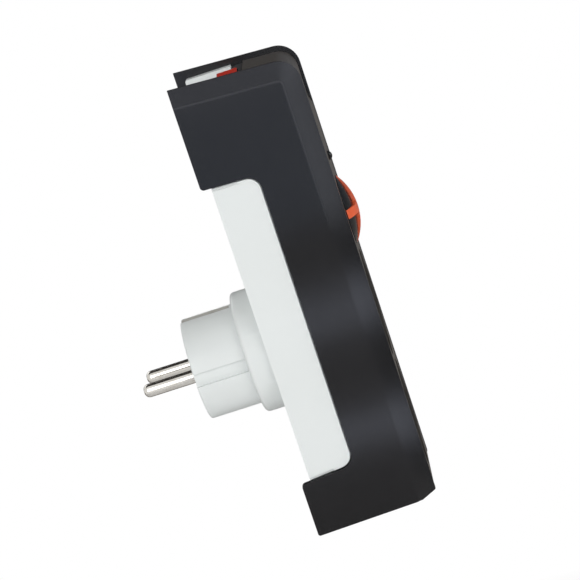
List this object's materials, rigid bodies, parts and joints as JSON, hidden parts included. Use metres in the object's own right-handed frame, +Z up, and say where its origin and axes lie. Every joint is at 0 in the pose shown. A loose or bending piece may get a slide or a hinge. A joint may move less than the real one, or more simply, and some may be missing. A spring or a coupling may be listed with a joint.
{
  "type": "surge protector plug adapter",
  "caption": "Plug-in surge protector with stacked earthed sockets, a rocker switch on top and a domed push button, on a round earthed wall plug.",
  "frame": {"origin": "centre of the wall plug's end face, on the plug's axis", "axes": "+Y along the pins towards the wall, +Z up along the case, +X across the case to the right as seen from the front"},
  "size_m": [0.05, 0.091, 0.1637],
  "materials": {
    "charcoal_plastic": "fine satin grain, charcoal grey",
    "dark_fascia_plastic": "satin, warm dark grey",
    "white_plastic": "semi-gloss, cool white",
    "black_gloss_plastic": "polished black",
    "black_matte_plastic": "matt black",
    "orange_plastic": "semi-gloss orange",
    "red_plastic": "polished translucent red",
    "grey_plastic": "moulded grey case",
    "circuit_board": "green solder mask",
    "blue_lacquer": "dipped lacquer",
    "clear_lens": "clear moulded lens",
    "smoked_lens": "smoked dark lens",
    "nickel": "bright nickel plate",
    "brass": "rolled brass strip",
    "steel": "zinc plated steel",
    "brown_sleeve": "brown wire insulation",
    "blue_sleeve": "blue wire insulation",
    "green_sleeve": "green wire insulation with a yellow stripe"
  },
  "bodies": {
    "housing": {"side_cover_left": "charcoal_plastic", "side_cover_right": "charcoal_plastic", "rear_housing": "white_plastic", "front_fascia": "dark_fascia_plastic", "housing_screws": "steel", "flange_screws": "steel", "insert_screws": "steel", "board_screws": "steel", "earth_screws": "steel", "plug_body": "white_plastic", "pin_live": "nickel", "pin_neutral": "nickel", "plug_earth_strap": "nickel", "socket_insert": "black_matte_plastic", "earth_clip_upper": "nickel", "earth_clip_lower": "nickel", "shutter_spring_upper": "steel", "shutter_spring_lower": "steel", "shutter_rings": "steel", "live_rail": "brass", "neutral_rail": "brass", "earth_link": "brass", "surge_board": "circuit_board", "varistor_1": "blue_lacquer", "varistor_2": "blue_lacquer", "varistor_3": "blue_lacquer", "gas_tube": "steel", "thermal_fuse": "steel", "filter_capacitor": "grey_plastic", "led_resistor": "blue_lacquer", "led": "clear_lens", "led_lens": "smoked_lens", "push_switch": "black_gloss_plastic", "rocker_body": "black_matte_plastic", "rocker_terminals": "brass", "rocker_lamp": "clear_lens", "live_lead": "brown_sleeve", "switched_lead": "brown_sleeve", "neutral_lead": "blue_sleeve", "earth_lead": "green_sleeve"},
    "button": {"button_cap": "black_gloss_plastic", "button_cross": "orange_plastic", "switch_plunger": "white_plastic"},
    "rocker": {"rocker_cap": "red_plastic"},
    "shutter_plate_upper": {"shutter_upper": "white_plastic", "spring_leg_upper": "steel"},
    "shutter_plate_lower": {"shutter_lower": "white_plastic", "spring_leg_lower": "steel"}
  },
  "joints": [
    {"name": "button_press", "type": "slide", "parent": "housing", "child": "button", "axis": [0, 1, 0], "range_m": [0, 0.0025], "stiffness_N_per_m": 400, "springref_m": -0.002},
    {"name": "rocker_tilt", "type": "hinge", "parent": "housing", "child": "rocker", "pos_m": [0, -0.04295, 0.09063], "axis": [0, 1, 0], "range_deg": [0, 10]},
    {"name": "shutter_upper_turn", "type": "hinge", "parent": "housing", "child": "shutter_plate_upper", "pos_m": [0, -0.0471, 0.0036], "axis": [0, 1, 0], "range_deg": [0, 40], "stiffness_Nm_per_rad": 0.0006, "springref_deg": -20.05},
    {"name": "shutter_lower_turn", "type": "hinge", "parent": "housing", "child": "shutter_plate_lower", "pos_m": [0, -0.0471, -0.038], "axis": [0, 1, 0], "range_deg": [0, 40], "stiffness_Nm_per_rad": 0.0006, "springref_deg": -20.05}
  ]
}
